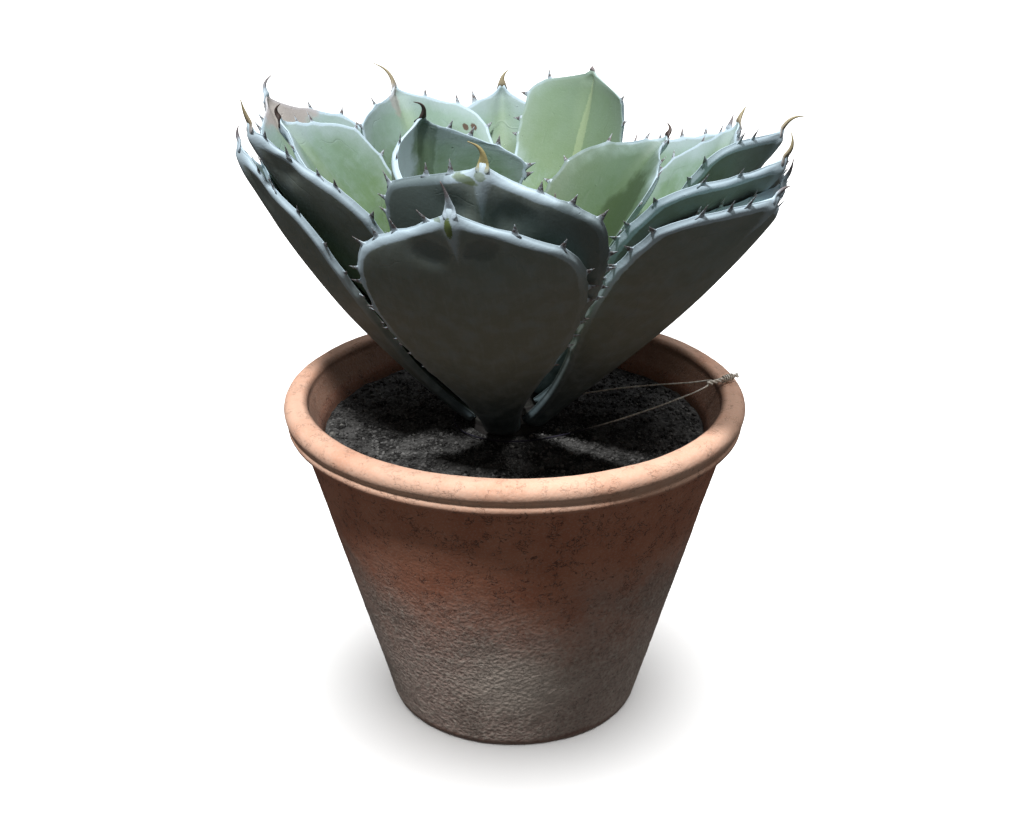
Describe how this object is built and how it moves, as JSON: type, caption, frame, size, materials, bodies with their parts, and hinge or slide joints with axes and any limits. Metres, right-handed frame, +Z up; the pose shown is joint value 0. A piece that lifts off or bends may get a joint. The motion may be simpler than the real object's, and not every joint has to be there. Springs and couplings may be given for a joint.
{
  "type": "potted agave",
  "caption": "Broad-leaved agave rosette with toothed leaf edges and hard tip spines, in a terracotta pot with a rolled rim, with soil and a wire tie",
  "frame": {"origin": "centre of the pot's flat underside", "axes": "+Z up through the pot's axis, +X to the right and -Y towards the viewer in the picture's view"},
  "size_m": [0.2988, 0.2986, 0.3659],
  "materials": {
    "terracotta": "unglazed fired clay, weathered, darker and greyer in its lower half",
    "soil": "coarse dark mineral soil",
    "stem": "pale, dry leaf bases on a short neck",
    "leaf": "waxy blue-green bloom, paler edges, brown teeth and spines",
    "wire": "dull galvanised wire, lightly rusted"
  },
  "bodies": {
    "root": {"pot": "terracotta", "soil": "soil", "stem": "stem", "leaf_01": "leaf", "leaf_02": "leaf", "leaf_03": "leaf", "leaf_04": "leaf", "leaf_05": "leaf", "leaf_06": "leaf", "leaf_07": "leaf", "leaf_08": "leaf", "leaf_09": "leaf", "leaf_10": "leaf", "leaf_11": "leaf", "leaf_12": "leaf", "leaf_13": "leaf", "leaf_14": "leaf", "leaf_15": "leaf", "leaf_16": "leaf", "leaf_17": "leaf", "leaf_18": "leaf", "leaf_19": "leaf", "leaf_20": "leaf", "leaf_21": "leaf", "leaf_22": "leaf", "leaf_23": "leaf", "leaf_24": "leaf", "leaf_25": "leaf", "leaf_26": "leaf", "leaf_27": "leaf", "leaf_28": "leaf", "tie_wire": "wire"}
  },
  "joints": []
}
